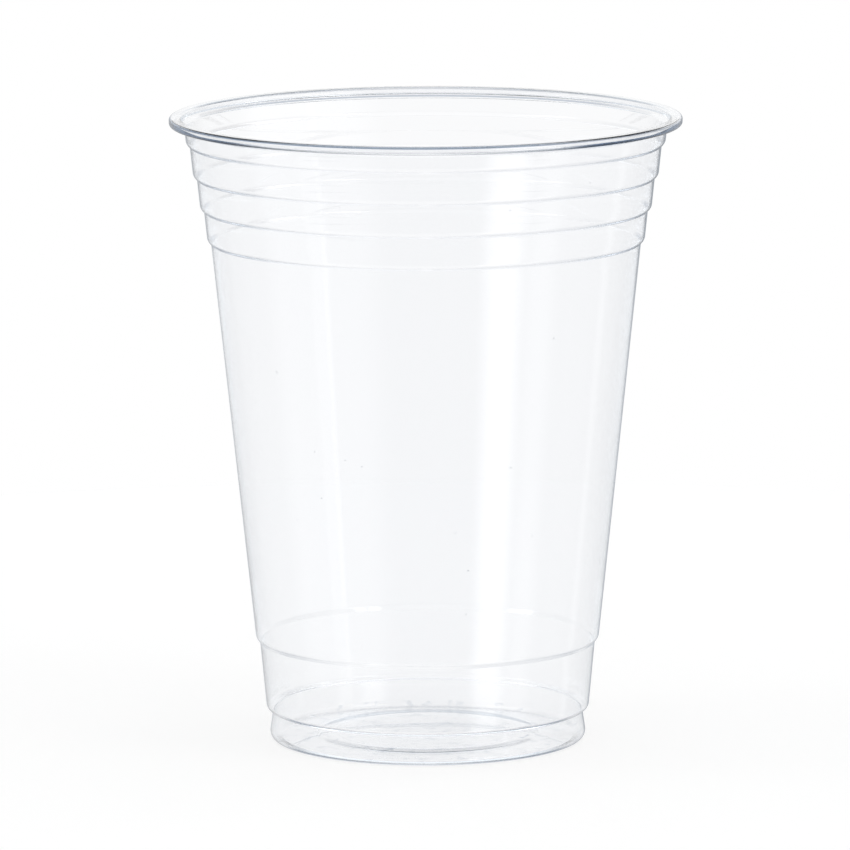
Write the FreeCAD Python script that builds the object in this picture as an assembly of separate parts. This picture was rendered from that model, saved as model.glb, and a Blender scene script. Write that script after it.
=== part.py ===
import FreeCAD, Part
import math
import os

# Disposable cold-drink cup of clear plastic sheet, in one piece.
# Lengths are in millimetres and angles in degrees.
# The cup stands on Z = 0 and turns about the Z axis.
# Every radius below is to the outside of the sheet.

# Overall size
cup_height = 120.5
rim_radius = 49.0

# Thickness of the sheet
rim_sheet = 0.35
wall_sheet = 0.30
floor_sheet = 0.45

# Rim: a flat lip on a short collar, with a skirt whose edge is turned under
lip_gap = 1.70
collar_height = 1.65
ledge_width = 0.90
ledge_drop = 0.55
skirt_drop = 1.15
hem_width = 0.65
hem_drop = 0.12
rim_bend = 0.18

# Stacking rings: each band ends in a rounded bulge over an undercut
ring_count = 4
ring_pitch = 6.23
first_undercut = 5.50
undercut_depth = 0.72
undercut_drop = 0.60
bulge_bend = 0.90
wall_taper = 6.05

# Shoulder low on the wall, where the narrower lower band begins
shoulder_height = 19.0
shoulder_depth = 0.75
shoulder_drop = 0.90
lower_taper = 5.43

# Waist and foot: the foot flares out below the waist
waist_height = 5.60
waist_depth = 1.25
waist_drop = 0.60
waist_bend = 0.70
foot_flare = 8.2
heel_bend = 1.10

# Underside: contact ring, a gentle slope up from it, and a raised disc in the middle
ring_face = 2.70
slope_width = 6.70
slope_rise = 0.35
step_width = 0.50
step_rise = 0.33

# Heights and radii that follow from the sizes above, from the rim down
taper = math.tan(math.radians(wall_taper))
low_taper = math.tan(math.radians(lower_taper))
flare = math.tan(math.radians(foot_flare))
lip_under = cup_height - rim_sheet
skirt_radius = rim_radius - rim_sheet
collar_radius = skirt_radius - lip_gap
collar_foot = cup_height - collar_height
wall_top = collar_foot - ledge_drop
wall_top_radius = collar_radius - ledge_width
skirt_foot = cup_height - skirt_drop

# Outline of the outer surface, from the rim down.
# Each corner is (radius, height, bend radius, thickness of the sheet above it),
# and a bend radius of nought is a sharp fold.
corners = [
    (skirt_radius - hem_width, skirt_foot - hem_drop, 0.0, rim_sheet),
    (skirt_radius, skirt_foot, 0.0, rim_sheet),
    (skirt_radius, lip_under, rim_bend, rim_sheet),
    (collar_radius, lip_under, rim_bend, rim_sheet),
    (collar_radius, collar_foot, 0.0, rim_sheet),
    (wall_top_radius, wall_top, 0.0, rim_sheet),
]

# Bands between the stacking rings
radius = wall_top_radius
height = wall_top
for i in range(ring_count):
    undercut = cup_height - first_undercut - i * ring_pitch
    bulge = undercut + undercut_drop
    radius = radius - (height - bulge) * taper
    corners.append((radius, bulge, bulge_bend, wall_sheet))
    radius = radius - undercut_depth
    height = undercut
    corners.append((radius, height, 0.0, wall_sheet))

# Long wall down to the shoulder
bulge = shoulder_height + shoulder_drop
radius = radius - (height - bulge) * taper
corners.append((radius, bulge, bulge_bend, wall_sheet))
radius = radius - shoulder_depth
corners.append((radius, shoulder_height, 0.0, wall_sheet))

# Lower band down to the waist
bulge = waist_height + waist_drop
radius = radius - (shoulder_height - bulge) * low_taper
corners.append((radius, bulge, waist_bend, wall_sheet))
waist_radius = radius - waist_depth
corners.append((waist_radius, waist_height, 0.0, wall_sheet))

# Foot, contact ring and floor
heel_radius = waist_radius + waist_height * flare
ring_inner = heel_radius - ring_face
corners.append((heel_radius, 0.0, heel_bend, wall_sheet))
corners.append((ring_inner, 0.0, 0.0, floor_sheet))
slope_inner = ring_inner - slope_width
corners.append((slope_inner, slope_rise, 0.0, floor_sheet))
corners.append((slope_inner - step_width, slope_rise + step_rise, 0.0, floor_sheet))
corners.append((0.0, slope_rise + step_rise, 0.0, floor_sheet))

# The outline is walked from the middle of the floor up to the rim,
# so the inside of the cup is always on the left.
corners.reverse()


def direction(a, b):
    length = math.hypot(b[0] - a[0], b[1] - a[1])
    return ((b[0] - a[0]) / length, (b[1] - a[1]) / length)


def crossing(p, d, q, e):
    # Point where the line through p along d meets the line through q along e.
    share = ((q[0] - p[0]) * e[1] - (q[1] - p[1]) * e[0]) / (d[0] * e[1] - d[1] * e[0])
    return (p[0] + share * d[0], p[1] + share * d[1])


def vector(p):
    return FreeCAD.Vector(p[0], 0, p[1])


def rounded(points, radii):
    # Straight edges through the points, with an arc wherever a radius is given.
    edges = []
    start = points[0]
    for i in range(1, len(points) - 1):
        if radii[i] == 0:
            edges.append(Part.LineSegment(vector(start), vector(points[i])).toShape())
            start = points[i]
            continue
        before = direction(points[i - 1], points[i])
        after = direction(points[i], points[i + 1])
        cross = before[0] * after[1] - before[1] * after[0]
        dot = before[0] * after[0] + before[1] * after[1]
        turn = abs(math.atan2(cross, dot))
        trim = radii[i] * math.tan(turn / 2)
        a = (points[i][0] - trim * before[0], points[i][1] - trim * before[1])
        b = (points[i][0] + trim * after[0], points[i][1] + trim * after[1])
        middle = direction((0, 0), (after[0] - before[0], after[1] - before[1]))
        reach = radii[i] * (1 / math.cos(turn / 2) - 1)
        m = (points[i][0] + reach * middle[0], points[i][1] + reach * middle[1])
        edges.append(Part.LineSegment(vector(start), vector(a)).toShape())
        edges.append(Part.Arc(vector(a), vector(m), vector(b)).toShape())
        start = b
    edges.append(Part.LineSegment(vector(start), vector(points[-1])).toShape())
    return edges


# Outer surface, and the inner surface one sheet thickness to its left
outer = [(c[0], c[1]) for c in corners]
sheets = [c[3] for c in corners]
steps = [direction(outer[i], outer[i + 1]) for i in range(len(outer) - 1)]
shifted = []
for i in range(len(steps)):
    left = (-steps[i][1], steps[i][0])
    shifted.append((outer[i][0] + sheets[i] * left[0], outer[i][1] + sheets[i] * left[1]))
inner = [shifted[0]]
for i in range(1, len(steps)):
    inner.append(crossing(shifted[i - 1], steps[i - 1], shifted[i], steps[i]))
left = (-steps[-1][1], steps[-1][0])
inner.append((outer[-1][0] + sheets[-2] * left[0], outer[-1][1] + sheets[-2] * left[1]))

# A bend's stated radius is on its hollow side, and its other side is one sheet larger.
# A sharp fold is sharp on both sides.
outer_radii = [0.0]
inner_radii = [0.0]
for i in range(1, len(outer) - 1):
    bend = corners[i][2]
    turn = steps[i - 1][0] * steps[i][1] - steps[i - 1][1] * steps[i][0]
    thick = (sheets[i - 1] + sheets[i]) / 2 if bend > 0 else 0.0
    outer_radii.append(bend + thick if turn > 0 else bend)
    inner_radii.append(bend if turn > 0 else bend + thick)

# Section of the sheet, turned once round the axis
edges = rounded(outer, outer_radii)
edges.append(Part.LineSegment(vector(outer[-1]), vector(inner[-1])).toShape())
edges.extend(rounded(inner, inner_radii))
edges.append(Part.LineSegment(vector(inner[0]), vector(outer[0])).toShape())
section = Part.Face(Part.Wire(Part.__sortEdges__(edges)))
cup = section.revolve(FreeCAD.Vector(0, 0, 0), FreeCAD.Vector(0, 0, 1), 360)

os.makedirs("parts", exist_ok=True)
cup.exportStep("parts/cup.step")
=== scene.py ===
# %% [markdown]
# # A clear disposable cup
# The object is a cold-drink cup of clear plastic, standing on a white table.
# It is one skin about a third of a millimetre thick, and it has no moving part.
# What makes it hard to show is that it has almost no colour of its own: the eye
# sees it only by its edges, its reflections and the light that it bends.
# So the shape has to be exact, and the room around it matters as much as the cup.

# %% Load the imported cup
import math

import bmesh
import bpy
from mathutils import Matrix, Vector


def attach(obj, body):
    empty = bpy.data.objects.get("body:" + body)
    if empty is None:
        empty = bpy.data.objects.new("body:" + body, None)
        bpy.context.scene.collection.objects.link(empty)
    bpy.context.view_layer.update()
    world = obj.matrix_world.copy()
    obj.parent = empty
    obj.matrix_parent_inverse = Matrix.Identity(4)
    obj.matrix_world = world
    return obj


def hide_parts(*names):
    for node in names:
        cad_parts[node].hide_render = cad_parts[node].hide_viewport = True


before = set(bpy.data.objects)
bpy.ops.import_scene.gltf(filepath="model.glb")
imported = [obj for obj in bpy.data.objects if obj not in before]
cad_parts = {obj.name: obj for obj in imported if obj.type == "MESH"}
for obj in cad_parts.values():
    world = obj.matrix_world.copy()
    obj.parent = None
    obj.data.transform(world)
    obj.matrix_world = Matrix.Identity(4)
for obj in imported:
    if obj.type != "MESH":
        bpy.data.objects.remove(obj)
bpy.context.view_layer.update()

MM = 0.001

# %% [markdown]
# ## The camera
# The photograph was taken from about a metre and a half away with a long lens,
# looking down by nine degrees, so the rim shows as a thin ellipse.
# A long lens keeps the left and right walls nearly parallel to how they are.
# The camera is aimed at the middle of the cup, and turned a fifth of a degree
# about its own line of sight, because the photographed cup leans by that much.
# The focal length and the shift are measured in pixels of the picture.

# %% Place the camera
IMAGE_WIDTH_PX = 850
FOCAL_LENGTH_PX = 8339
SHIFT_RIGHT_PX, SHIFT_UP_PX = -1.74, 0.5
SENSOR_WIDTH = 36
LOOK_AT = Vector((0, 0, 60.66 * MM))
DISTANCE = 1.600
LOOK_DOWN = math.radians(9.03)
LEAN = math.radians(0.203)

camera_data = bpy.data.cameras.new("photo_camera")
camera_data.sensor_width = SENSOR_WIDTH
camera_data.lens = FOCAL_LENGTH_PX / IMAGE_WIDTH_PX * SENSOR_WIDTH
camera_data.shift_x = SHIFT_RIGHT_PX / IMAGE_WIDTH_PX
camera_data.shift_y = SHIFT_UP_PX / IMAGE_WIDTH_PX
camera_data.clip_end = 50
camera = bpy.data.objects.new("photo_camera", camera_data)
bpy.context.collection.objects.link(camera)
away = Vector((0, -math.cos(LOOK_DOWN), math.sin(LOOK_DOWN)))
aim = (-away).to_track_quat("-Z", "Y").to_matrix().to_4x4()
camera.matrix_world = Matrix.Translation(LOOK_AT + DISTANCE * away) @ aim @ Matrix.Rotation(-LEAN, 4, "Z")
bpy.context.scene.camera = camera
print("lens, mm:", round(camera_data.lens, 1))

# %% [markdown]
# ## The outline of the cup
# A thermoformed cup is a body of revolution, so one outline describes it all.
# Going up from the middle of the floor it has a raised disc, a gentle slope, the
# ring that touches the table, a flared foot, a waist, a lower band, a shoulder,
# the long wall, four undercut stacking rings, and a lip with a turned-under skirt.
# The sizes are the CAD model's, in millimetres, on the outside of the sheet.

# %% Sizes of the outline
CUP_HEIGHT, RIM_RADIUS = 120.5, 49.0
RIM_SHEET, WALL_SHEET, FLOOR_SHEET = 0.35, 0.30, 0.45
LIP_GAP, RIM_BEND = 1.70, 0.18
COLLAR_HEIGHT, LEDGE_WIDTH, LEDGE_DROP = 1.65, 0.90, 0.55
SKIRT_DROP, HEM_WIDTH, HEM_DROP = 1.15, 0.65, 0.12
RING_COUNT, RING_PITCH, FIRST_UNDERCUT = 4, 6.23, 5.50
UNDERCUT_DEPTH, UNDERCUT_DROP, BULGE_BEND = 0.72, 0.60, 0.90
SHOULDER_HEIGHT, SHOULDER_DEPTH, SHOULDER_DROP = 19.00, 0.75, 0.90
WAIST_HEIGHT, WAIST_DEPTH, WAIST_DROP, WAIST_BEND = 5.60, 1.25, 0.60, 0.70
HEEL_BEND, RING_FACE = 1.10, 2.70
SLOPE_WIDTH, SLOPE_RISE, STEP_WIDTH, STEP_RISE = 6.70, 0.35, 0.50, 0.33
FOLD, FLOOR_FOLD = 0.06, 0.10
WALL_TAPER, LOW_TAPER, FOOT_FLARE = (math.tan(math.radians(angle)) for angle in (6.05, 5.43, 8.2))

skirt = RIM_RADIUS - RIM_SHEET
collar = skirt - LIP_GAP
lip_under = CUP_HEIGHT - RIM_SHEET
collar_foot = CUP_HEIGHT - COLLAR_HEIGHT
print("radius of the collar, mm:", round(collar, 2))

# %% [markdown]
# Each corner is (radius, height, radius of the bend, thickness of the sheet).
# The list is made from the rim down, because the sizes hang from the rim, and is
# then turned round, because the skin is built from the floor up.

# %% Corners of the outline
corners = [
    (skirt - HEM_WIDTH, CUP_HEIGHT - SKIRT_DROP - HEM_DROP, 0, RIM_SHEET),
    (skirt, CUP_HEIGHT - SKIRT_DROP, RIM_BEND, RIM_SHEET),
    (skirt, lip_under, RIM_BEND, RIM_SHEET),
    (collar, lip_under, RIM_BEND, RIM_SHEET),
    (collar, collar_foot, RIM_BEND, RIM_SHEET),
    (collar - LEDGE_WIDTH, collar_foot - LEDGE_DROP, RIM_BEND, RIM_SHEET),
]
radius, height = corners[-1][:2]
for ring in range(RING_COUNT):
    undercut = CUP_HEIGHT - FIRST_UNDERCUT - ring * RING_PITCH
    radius -= (height - undercut - UNDERCUT_DROP) * WALL_TAPER
    corners.append((radius, undercut + UNDERCUT_DROP, BULGE_BEND, WALL_SHEET))
    radius -= UNDERCUT_DEPTH
    height = undercut
    corners.append((radius, height, FOLD, WALL_SHEET))

bulge = SHOULDER_HEIGHT + SHOULDER_DROP
radius -= (height - bulge) * WALL_TAPER
corners.append((radius, bulge, BULGE_BEND, WALL_SHEET))
radius -= SHOULDER_DEPTH
corners.append((radius, SHOULDER_HEIGHT, FOLD, WALL_SHEET))

bulge = WAIST_HEIGHT + WAIST_DROP
radius -= (SHOULDER_HEIGHT - bulge) * LOW_TAPER
corners.append((radius, bulge, WAIST_BEND, WALL_SHEET))
radius -= WAIST_DEPTH
corners.append((radius, WAIST_HEIGHT, FOLD, WALL_SHEET))

heel = radius + WAIST_HEIGHT * FOOT_FLARE
foot_inner = heel - RING_FACE
slope_inner = foot_inner - SLOPE_WIDTH
corners.append((heel, 0, HEEL_BEND, WALL_SHEET))
corners.append((foot_inner, 0, FLOOR_FOLD, FLOOR_SHEET))
corners.append((slope_inner, SLOPE_RISE, FLOOR_FOLD, FLOOR_SHEET))
corners.append((slope_inner - STEP_WIDTH, SLOPE_RISE + STEP_RISE, FLOOR_FOLD, FLOOR_SHEET))
corners.reverse()
print("corners:", len(corners), "foot radius, mm:", round(heel, 2))

# %% [markdown]
# ## Shaping the skin
# By hand this is a circle for the middle of the floor, whose edge is extruded
# and scaled again and again, once for each corner of the outline, up to the rim.
# Spinning a drawn section would do as well, but extruding keeps every ring a
# closed loop from the start, with no seam to weld and no pole but the floor's.
# Long straight runs are walked in steps of about three millimetres.

# %% Pick one ring of the mesh
AROUND = 256
NEAR_ENOUGH = 0.003


def pick_ring(skin, radius, height):
    # Selects the edges on the circle of this radius and height, in millimetres.
    mesh = bmesh.from_edit_mesh(skin.data)
    bpy.ops.mesh.select_mode(type="EDGE")
    bpy.ops.mesh.select_all(action="DESELECT")
    count = 0
    for edge in mesh.edges:
        ends = [(math.hypot(v.co.x, v.co.y) / MM, v.co.z / MM) for v in edge.verts]
        if all(abs(r - radius) < NEAR_ENOUGH and abs(z - height) < NEAR_ENOUGH for r, z in ends):
            edge.select_set(True)
            count += 1
    bmesh.update_edit_mesh(skin.data)
    return count


# %% Extrude the skin from the floor to the rim
START_RADIUS = 5.0
STEP_LENGTH = 3.0
floor_top = corners[0][1]
bpy.ops.object.select_all(action="DESELECT")
bpy.ops.mesh.primitive_circle_add(vertices=AROUND, radius=START_RADIUS * MM, fill_type="TRIFAN")
cup = bpy.context.object
cup.name = "clear_cup"
bpy.ops.object.mode_set(mode="EDIT")
bpy.ops.mesh.select_all(action="SELECT")
bpy.ops.transform.translate(value=(0, 0, floor_top * MM))
print("edges of the first ring:", pick_ring(cup, START_RADIUS, floor_top))
here = (START_RADIUS, floor_top)
for target in corners:
    start = here
    run = math.hypot(target[0] - start[0], target[1] - start[1])
    steps = max(1, round(run / STEP_LENGTH))
    for step in range(1, steps + 1):
        share = step / steps
        there = (
            start[0] + (target[0] - start[0]) * share,
            start[1] + (target[1] - start[1]) * share,
        )
        bpy.ops.mesh.extrude_region_move(
            TRANSFORM_OT_translate={"value": (0, 0, (there[1] - here[1]) * MM)}
        )
        grow = there[0] / here[0]
        bpy.ops.transform.resize(value=(grow, grow, 1), center_override=(0, 0, 0))
        here = there
print("vertices after extruding:", len(cup.data.vertices))

# %% [markdown]
# ## Rounding the bends
# Hot sheet never makes a dead sharp bend, so each ring that is a corner of the
# outline is bevelled into an arc. The stated radius is on the hollow side of a
# bend, and the other side is one sheet thickness larger, as in bent metal.
# The width of the bevel is what an arc of that radius takes from each side.

# %% Bevel each corner ring
TURN_PER_SEGMENT = math.radians(11)
for i in range(1, len(corners) - 1):
    r0, z0 = corners[i - 1][:2]
    r1, z1, bend, sheet = corners[i]
    r2, z2 = corners[i + 1][:2]
    before = Vector((r1 - r0, z1 - z0)).normalized()
    after = Vector((r2 - r1, z2 - z1)).normalized()
    turn = math.atan2(before.x * after.y - before.y * after.x, before.dot(after))
    arc = bend + (corners[i - 1][3] + sheet) / 2 if turn > 0 else bend
    pick_ring(cup, r1, z1)
    bpy.ops.mesh.bevel(
        offset=arc * math.tan(abs(turn) / 2) * MM,
        segments=max(3, round(abs(turn) / TURN_PER_SEGMENT)),
        affect="EDGES",
        offset_type="OFFSET",
        profile=0.5,
        clamp_overlap=False,
    )
bpy.ops.mesh.select_all(action="SELECT")
bpy.ops.mesh.normals_make_consistent(inside=True)
bpy.ops.object.mode_set(mode="OBJECT")
print("vertices after bevelling:", len(cup.data.vertices))

# %% [markdown]
# ## Giving the sheet its thickness
# The skin so far is the outside of the cup. Solidify adds the inside, and closes
# the edge of the turned-under hem. The sheet is stretched thinner on the wall
# than on the floor and the rim, so a vertex group says how thick it is where.
# The faces of the open skin were turned inwards before, because Solidify grows
# the sheet along them. The closed solid then has its normals outwards.

# %% Weigh the sheet and solidify it
RIM_DEPTH = 2.0
sheet_group = cup.vertex_groups.new(name="sheet")
for vertex in cup.data.vertices:
    r, z = math.hypot(vertex.co.x, vertex.co.y) / MM, vertex.co.z / MM
    if z > CUP_HEIGHT - RIM_DEPTH:
        sheet = RIM_SHEET
    elif r < foot_inner + 0.1 and z < floor_top + 0.1:
        sheet = FLOOR_SHEET
    else:
        sheet = WALL_SHEET
    sheet_group.add([vertex.index], sheet / FLOOR_SHEET, "REPLACE")

wall = cup.modifiers.new("sheet", "SOLIDIFY")
wall.thickness = FLOOR_SHEET * MM
wall.offset = -1
wall.use_even_offset = True
wall.use_quality_normals = True
wall.vertex_group = "sheet"
bpy.context.view_layer.objects.active = cup
bpy.ops.object.modifier_apply(modifier=wall.name)
bpy.ops.object.shade_smooth_by_angle(angle=math.radians(40))

check = bmesh.new()
check.from_mesh(cup.data)
open_edges = sum(1 for edge in check.edges if not edge.is_manifold)
print("open edges:", open_edges, "plastic, cubic mm:", round(check.calc_volume() / MM**3))
print("triangles:", sum(len(face.verts) - 2 for face in check.faces))
check.free()

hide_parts("cup")
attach(cup, "root")

# %% [markdown]
# ## Small tools for node trees
# The looks below are sums and soft steps of plain numbers, so a few functions
# each add one kind of node and give back its output. A soft step, `ranged`, is
# nought on one side and one on the other, and `product` is one only where all of
# its parts are, which is how a place on the cup is picked out.

# %% Tools that add nodes
def put(tree, value, socket):
    # A number or a colour becomes the socket's own value, and an output is linked to it.
    if isinstance(value, (int, float, tuple)):
        socket.default_value = value
    else:
        tree.links.new(value, socket)


def calc(tree, operation, *values):
    node = tree.nodes.new("ShaderNodeMath")
    node.operation = operation
    for socket, value in zip(node.inputs, values):
        put(tree, value, socket)
    return node.outputs["Value"]


def product(tree, first, *others):
    for other in others:
        first = calc(tree, "MULTIPLY", first, other)
    return first


def ranged(tree, value, low, high, to_low, to_high):
    node = tree.nodes.new("ShaderNodeMapRange")
    node.interpolation_type = "SMOOTHSTEP"
    for name, number in (("From Min", low), ("From Max", high), ("To Min", to_low), ("To Max", to_high)):
        node.inputs[name].default_value = number
    tree.links.new(value, node.inputs["Value"])
    return node.outputs["Result"]


def window(tree, value, low, high, edge):
    # One between low and high, falling softly to nought across an edge of the stated width.
    rising = ranged(tree, value, low - edge / 2, low + edge / 2, 0, 1)
    falling = ranged(tree, value, high - edge / 2, high + edge / 2, 1, 0)
    return product(tree, rising, falling)


def mixed(tree, amount, under, over, kind="RGBA", how="MIX"):
    node = tree.nodes.new("ShaderNodeMix")
    node.data_type = kind
    node.blend_type = how
    for name, value in (("Factor", amount), ("A", under), ("B", over)):
        put(tree, value, node.inputs[name])
    return node.outputs["Result"]


def noise_on(tree, vector, stretch, scale, detail):
    # A noise whose pattern is stretched by making it finer or coarser along each axis.
    mapping = tree.nodes.new("ShaderNodeMapping")
    mapping.inputs["Scale"].default_value = stretch
    tree.links.new(vector, mapping.inputs["Vector"])
    noise = tree.nodes.new("ShaderNodeTexNoise")
    noise.inputs["Scale"].default_value = scale
    noise.inputs["Detail"].default_value = detail
    tree.links.new(mapping.outputs["Vector"], noise.inputs["Vector"])
    return noise.outputs["Fac"]


# %% [markdown]
# ## The clear plastic
# Clear plastic is glass to a renderer: light passes through, and a little of it
# is mirrored at every surface. PET bends light more than window glass does, so
# its index of refraction is 1.575. What keeps it from looking like perfect glass
# is what forming and handling leave behind: soft upright streaks in its skin, a
# few specks, and scuffs on the floor, most of them along the step of the raised
# disc. All of that is laid on Object coordinates, so it stays on the cup.

# %% Mix the plastic
PLASTIC_TINT = (0.986, 0.990, 0.998, 1)
SPECK_TINT = (0.55, 0.57, 0.60, 1)
SCUFF_TINT = (0.52, 0.57, 0.64, 1)
plastic = bpy.data.materials.new("clear_plastic")
plastic.use_nodes = True
tree = plastic.node_tree
shader = tree.nodes["Principled BSDF"]
shader.inputs["IOR"].default_value = 1.575
shader.inputs["Transmission Weight"].default_value = 1.0

place = tree.nodes.new("ShaderNodeTexCoord")
spot = tree.nodes.new("ShaderNodeSeparateXYZ")
tree.links.new(place.outputs["Object"], spot.inputs["Vector"])
x, y, z = (spot.outputs[axis] for axis in "XYZ")
side, depth = calc(tree, "ABSOLUTE", x), calc(tree, "ABSOLUTE", y)
reach = calc(tree, "SQRT", calc(tree, "ADD", product(tree, side, side), product(tree, depth, depth)))

streaks = noise_on(tree, place.outputs["Object"], (1, 1, 0.15), 60, 0)
tree.links.new(ranged(tree, streaks, 0.35, 0.75, 0.015, 0.05), shader.inputs["Roughness"])
bump = tree.nodes.new("ShaderNodeBump")
bump.inputs["Strength"].default_value = 0.15
bump.inputs["Distance"].default_value = 0.4 * MM
tree.links.new(streaks, bump.inputs["Height"])
tree.links.new(bump.outputs["Normal"], shader.inputs["Normal"])

specks = noise_on(tree, place.outputs["Object"], (1, 1, 1), 900, 0)
skin_tint = mixed(tree, ranged(tree, specks, 0.90, 0.93, 0, 1), PLASTIC_TINT, SPECK_TINT)
scuffs = noise_on(tree, place.outputs["Object"], (1, 1, 1), 420, 1)
step_ring = product(
    tree,
    calc(tree, "COMPARE", reach, 19.1 * MM, 0.8 * MM),
    ranged(tree, y, -6 * MM, 6 * MM, 1, 0.3),
)
scuffed = product(
    tree,
    ranged(tree, scuffs, 0.56, 0.70, 0, 1),
    calc(tree, "LESS_THAN", z, 1.3 * MM),
    calc(tree, "MAXIMUM", step_ring, 0.3),
)
skin_tint = mixed(tree, scuffed, skin_tint, SCUFF_TINT)
print("plastic nodes so far:", len(tree.nodes))

# %% [markdown]
# ## The painted dark lines
# The cup is drawn by a few dark lines, where thick or sharply bent plastic sends the eye to something dark.
# Here that is painted shade, laid on as a grey-blue tint in the skin's colour: along the bead of the lip,
# under its skirt towards both sides, at the heel, at the collar behind, and on the folds of the rings where
# they near the sides. A layer weight adds painted shade along the outline of the rings, for the camera's own
# rays only.

# %% Places on the cup
across = calc(tree, "DIVIDE", side, calc(tree, "ADD", calc(tree, "ADD", side, depth), 1e-6))
front = ranged(tree, y, -6 * MM, 4 * MM, 1, 0)
at_side = calc(
    tree, "MAXIMUM",
    ranged(tree, across, 0.80, 0.97, 0, 1),
    product(tree, ranged(tree, across, 0.45, 0.85, 0, 1), front),
)
turned_away = product(
    tree,
    ranged(tree, y, -6 * MM, 10 * MM, 0, 1),
    ranged(tree, across, 0.3, 0.6, 0.15, 1),
)
path = tree.nodes.new("ShaderNodeLightPath")
edge_on = tree.nodes.new("ShaderNodeLayerWeight")
edge_on.inputs["Blend"].default_value = 0.5
print("plastic nodes so far:", len(tree.nodes))

# %% Paint shade on the dark lines
PAINTED_SHADE_TINT = (0.17, 0.23, 0.33, 1)
# Each mask below is painted shade: it darkens the clear skin towards grey-blue where it would mirror something
# dark.
bead = product(
    tree,
    calc(tree, "GREATER_THAN", reach, 48.6 * MM),
    calc(tree, "GREATER_THAN", z, 120.08 * MM),
    calc(tree, "SUBTRACT", 1, turned_away),
    ranged(tree, x, 18 * MM, 38 * MM, 1, 0.55),
)
hem = product(
    tree,
    calc(tree, "GREATER_THAN", reach, 47.9 * MM),
    calc(tree, "LESS_THAN", z, ranged(tree, side, 42 * MM, 47 * MM, 119.6 * MM, 120.05 * MM)),
    ranged(tree, calc(tree, "ABSOLUTE", calc(tree, "ADD", x, 3 * MM)), 25 * MM, 36 * MM, 0, 1),
)
heel_line = product(
    tree,
    calc(tree, "COMPARE", reach, 29.8 * MM, 0.8 * MM),
    ranged(tree, z, 0.20 * MM, 0.55 * MM, 0.5, 0),
)
collar_line = product(
    tree,
    calc(tree, "COMPARE", z, 118.78 * MM, 0.09 * MM),
    ranged(tree, y, 20 * MM, 34 * MM, 0, 0.8),
)
below_bulge = calc(tree, "MODULO", calc(tree, "SUBTRACT", 115.7 * MM, z), RING_PITCH * MM)
folds = product(tree, calc(tree, "COMPARE", below_bulge, 0.38 * MM, 0.28 * MM), at_side)
# Painted shade by view: the layer weight darkens the rings where the surface turns edge-on to the camera.
outline = product(
    tree,
    ranged(tree, edge_on.outputs["Facing"], 0.82, 0.95, 0, 0.9),
    path.outputs["Is Camera Ray"],
)
ring_lines = product(
    tree,
    calc(tree, "MAXIMUM", folds, outline),
    calc(tree, "COMPARE", z, 107.1 * MM, 11.4 * MM),
)
front_lines = product(tree, calc(tree, "ADD", hem, heel_line), front)
# All the painted shade together, mixed into the skin's colour.
painted_dark_lines = calc(
    tree, "ADD",
    calc(tree, "ADD", bead, collar_line),
    calc(tree, "MAXIMUM", front_lines, ring_lines),
)
tree.links.new(mixed(tree, painted_dark_lines, skin_tint, PAINTED_SHADE_TINT), shader.inputs["Base Color"])
print("plastic nodes so far:", len(tree.nodes))

# %% [markdown]
# ## Light caught in the sheet
# At a bend, light that has entered the sheet is mirrored inside it many times
# before it comes out. A renderer stops following light after a few mirrorings,
# and each bend would be a black line. So the plastic glows faintly, but only for
# light that was mirrored more than three times, in place of what was dropped.
# How much is set by place: more at the front, less at the sides and the foot.

# %% Let the caught light out
GLOW_COLOR = (0.88, 0.94, 1.0, 1)
often = calc(tree, "GREATER_THAN", path.outputs["Glossy Depth"], 3.5)
back_shoulder = product(
    tree,
    ranged(tree, y, 6 * MM, 16 * MM, 0, 0.8),
    calc(tree, "COMPARE", z, 20 * MM, 6 * MM),
)
facing = calc(
    tree, "MAXIMUM",
    ranged(tree, z, 10 * MM, 90 * MM, 0.38, 0.86),
    calc(tree, "MAXIMUM", ranged(tree, z, 1.3 * MM, 2.0 * MM, 0.60, 0), back_shoulder),
)
near_edge = calc(
    tree, "MAXIMUM",
    ranged(tree, z, 84 * MM, 88 * MM, 0.08, 0.02),
    product(tree, calc(tree, "COMPARE", z, 19.75 * MM, 1.75 * MM), 0.35),
)
on_body = mixed(tree, at_side, facing, near_edge, kind="FLOAT")
on_rim = product(tree, turned_away, 0.40)
left_over = mixed(tree, ranged(tree, z, 117 * MM, 119 * MM, 0, 1), on_body, on_rim, kind="FLOAT")
inner_glow = mixed(tree, product(tree, often, left_over), (0, 0, 0, 1), GLOW_COLOR)
tree.links.new(inner_glow, shader.inputs["Emission Color"])
shader.inputs["Emission Strength"].default_value = 1.0
cup.data.materials.clear()
cup.data.materials.append(plastic)
print("plastic nodes:", len(tree.nodes))

# %% [markdown]
# ## The table
# The cup stands on a small round white table. Most of its white is its own, so
# that it can't be told from the white behind it, and the rest is a matt white
# that the room lights, which is the part that shows the cup's soft shadow.
# To light that the cup has mirrored the table is clear, so that the cup mirrors
# the darker room below and its edges keep their lines.

# %% Lay the table
TABLE_RADIUS = 0.30
TABLE_DROP = 0.05 * MM
bpy.ops.object.select_all(action="DESELECT")
bpy.ops.mesh.primitive_circle_add(
    vertices=128, radius=TABLE_RADIUS, fill_type="NGON", location=(0, 0, -TABLE_DROP)
)
table = bpy.context.object
table.name = "white_table"

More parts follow.
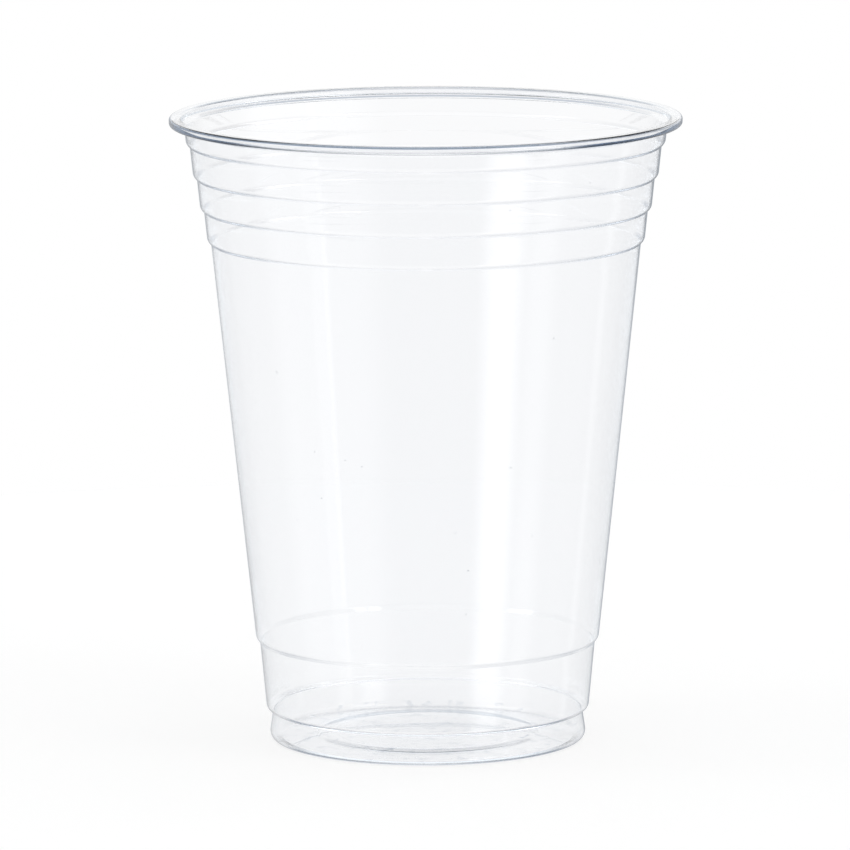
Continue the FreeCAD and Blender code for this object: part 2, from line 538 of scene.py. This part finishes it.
white = bpy.data.materials.new("white_table")
white.use_nodes = True
tree = white.node_tree
tree.nodes.remove(tree.nodes["Principled BSDF"])
matt = tree.nodes.new("ShaderNodeBsdfDiffuse")
matt.inputs["Color"].default_value = (0.24, 0.237, 0.230, 1)
glow = tree.nodes.new("ShaderNodeEmission")
glow.inputs["Strength"].default_value = 0.805
both = tree.nodes.new("ShaderNodeAddShader")
clear = tree.nodes.new("ShaderNodeBsdfTransparent")
choice = tree.nodes.new("ShaderNodeMixShader")
path = tree.nodes.new("ShaderNodeLightPath")
mirrored = calc(tree, "GREATER_THAN", path.outputs["Glossy Depth"], 0.5)
tree.links.new(matt.outputs["BSDF"], both.inputs[0])
tree.links.new(glow.outputs["Emission"], both.inputs[1])
tree.links.new(mirrored, choice.inputs["Fac"])
tree.links.new(both.outputs["Shader"], choice.inputs[1])
tree.links.new(clear.outputs["BSDF"], choice.inputs[2])
tree.links.new(choice.outputs["Shader"], tree.nodes["Material Output"].inputs["Surface"])
table.data.materials.append(white)
print("table, metres across:", 2 * TABLE_RADIUS)

# %% [markdown]
# ## The room
# Nothing in the picture shows the room, but the cup is made visible by it. The
# camera, and light that only passes through the cup, see plain white. Light that
# the cup has mirrored at least once sees a studio, drawn on the world by
# direction. Azimuth is counted in degrees from the camera's side towards the
# right, and elevation up from level. The world is met only by chance, and not
# aimed at, because almost every aimed ray would be stopped by the cup itself.

# %% Find the direction
world = bpy.data.worlds.new("studio")
bpy.context.scene.world = world
world.use_nodes = True
world.cycles.sampling_method = "NONE"
tree = world.node_tree
background = tree.nodes["Background"]
direction = tree.nodes.new("ShaderNodeTexCoord")
split = tree.nodes.new("ShaderNodeSeparateXYZ")
tree.links.new(direction.outputs["Generated"], split.inputs["Vector"])
to_degrees = 180 / math.pi
towards_camera = calc(tree, "MULTIPLY", split.outputs["Y"], -1)
azimuth = product(tree, calc(tree, "ARCTAN2", split.outputs["X"], towards_camera), to_degrees)
elevation = product(tree, calc(tree, "ARCSINE", split.outputs["Z"]), to_degrees)
print("world nodes so far:", len(tree.nodes))


# %% Brightness by azimuth
def around(tree, azimuth, stops):
    # Brightness by azimuth, as a ramp through the stated stops; dark parts are a little blue.
    share = tree.nodes.new("ShaderNodeMapRange")
    share.inputs["From Min"].default_value = -180
    share.inputs["From Max"].default_value = 180
    tree.links.new(azimuth, share.inputs["Value"])
    node = tree.nodes.new("ShaderNodeValToRGB")
    ramp = node.color_ramp
    ramp.interpolation = "EASE"
    while len(ramp.elements) < len(stops):
        ramp.elements.new(0.5)
    for element, (at, light) in zip(ramp.elements, sorted(stops.items())):
        element.position = (at + 180) / 360
        dark = 1 - light
        element.color = (light ** (1 + 0.30 * dark), light ** (1 + 0.12 * dark), light ** (1 - 0.12 * dark), 1)
    tree.links.new(share.outputs["Result"], node.inputs["Fac"])
    return node.outputs["Color"]


# %% [markdown]
# The studio has five zones, one above another. The one below the table's level
# is mirrored by the undersides of the rim and the rings, and is dark towards the
# sides. The level one is mirrored by the wall, and the three above it by the
# bulges at the back. A white screen stands behind the cup.

# %% Stack the zones of the room
low = around(tree, azimuth, {
    -180: 0.93, -166: 0.86, -152: 0.30, -124: 0.34, -100: 0.84, -60: 0.96,
    50: 0.96, 70: 0.86, 90: 0.35, 154: 0.35, 168: 0.86, 180: 0.93,
})
level = around(tree, azimuth, {
    -180: 0.62, -172: 0.62, -160: 0.80, -110: 0.83, -50: 0.75, -10: 0.71,
    30: 0.71, 60: 0.75, 110: 0.81, 158: 0.78, 171: 0.50, 180: 0.56,
})
high = around(tree, azimuth, {
    -180: 0.35, -150: 0.45, -125: 0.50, -105: 0.70, -65: 0.70, -45: 0.50,
    45: 0.50, 65: 0.70, 100: 0.60, 118: 0.08, 155: 0.06, 180: 0.30,
})
HIGHER = (0.70, 0.72, 0.75, 1)
HIGHEST = (0.88, 0.90, 0.93, 1)
WHITE = (1, 1, 1, 1)
studio = mixed(tree, ranged(tree, elevation, 16, 34, 0, 1), level, high)
studio = mixed(tree, ranged(tree, elevation, 38, 48, 0, 1), studio, HIGHER)
studio = mixed(tree, ranged(tree, elevation, 56, 68, 0, 1), studio, HIGHEST)
studio = mixed(tree, ranged(tree, elevation, -24, -38, 0, 1), studio, low)
screen = product(
    tree,
    window(tree, calc(tree, "ABSOLUTE", azimuth), 150, 200, 16),
    window(tree, elevation, 2, 22, 4),
)
studio = mixed(tree, screen, studio, WHITE)
print("world nodes so far:", len(tree.nodes))

# %% [markdown]
# Soft lights are added on top. The tall ones on the right draw the bright upright
# bands on the wall, the thin one on the left its fainter partner, and the three
# high ones the short glints on the shoulder at the back.

# %% Hang the soft lights
# Each soft light: azimuth from and to, soft edge, elevation from and to, soft edge, strength.
SOFT_LIGHTS = {
    "right, near": (33, 53, 12, -50, -9, 6, 0.95),
    "right, far": (58, 74, 14, -50, -9, 6, 0.32),
    "right, behind": (112, 118, 6, -50, -9, 6, 0.2),
    "right, broad": (29, 97, 22, -5, 30, 6, 0.36),
    "right, line": (57, 60, 2, -5, 50, 6, 0.30),
    "left, thin": (-66, -55, 3, -45, -9, 10, 0.2),
    "upper right": (48, 70, 6, 36, 66, 8, 1.8),
    "upper left": (-96, -78, 6, 36, 66, 8, 1.8),
    "upper far right": (117, 130, 6, 36, 66, 8, 1.8),
}
lights = 0.0
for az0, az1, az_edge, el0, el1, el_edge, strength in SOFT_LIGHTS.values():
    shape = product(
        tree,
        window(tree, azimuth, az0, az1, az_edge),
        window(tree, elevation, el0, el1, el_edge),
        strength,
    )
    lights = calc(tree, "ADD", shape, lights)
lit_studio = mixed(tree, 1.0, studio, lights, how="ADD")
print("soft lights:", len(SOFT_LIGHTS))

# %% Choose who sees the room
path = tree.nodes.new("ShaderNodeLightPath")
unmirrored = calc(tree, "LESS_THAN", path.outputs["Glossy Depth"], 0.5)
through = product(tree, path.outputs["Is Transmission Ray"], unmirrored)
sees_white = calc(tree, "MAXIMUM", path.outputs["Is Camera Ray"], through)
tree.links.new(mixed(tree, sees_white, lit_studio, WHITE), background.inputs["Color"])
print("world nodes:", len(tree.nodes))

# %% [markdown]
# ## Finish
# The view transform is Standard, so that a white of one is white in the picture.

# %% Finish
bpy.context.scene.view_settings.view_transform = "Standard"
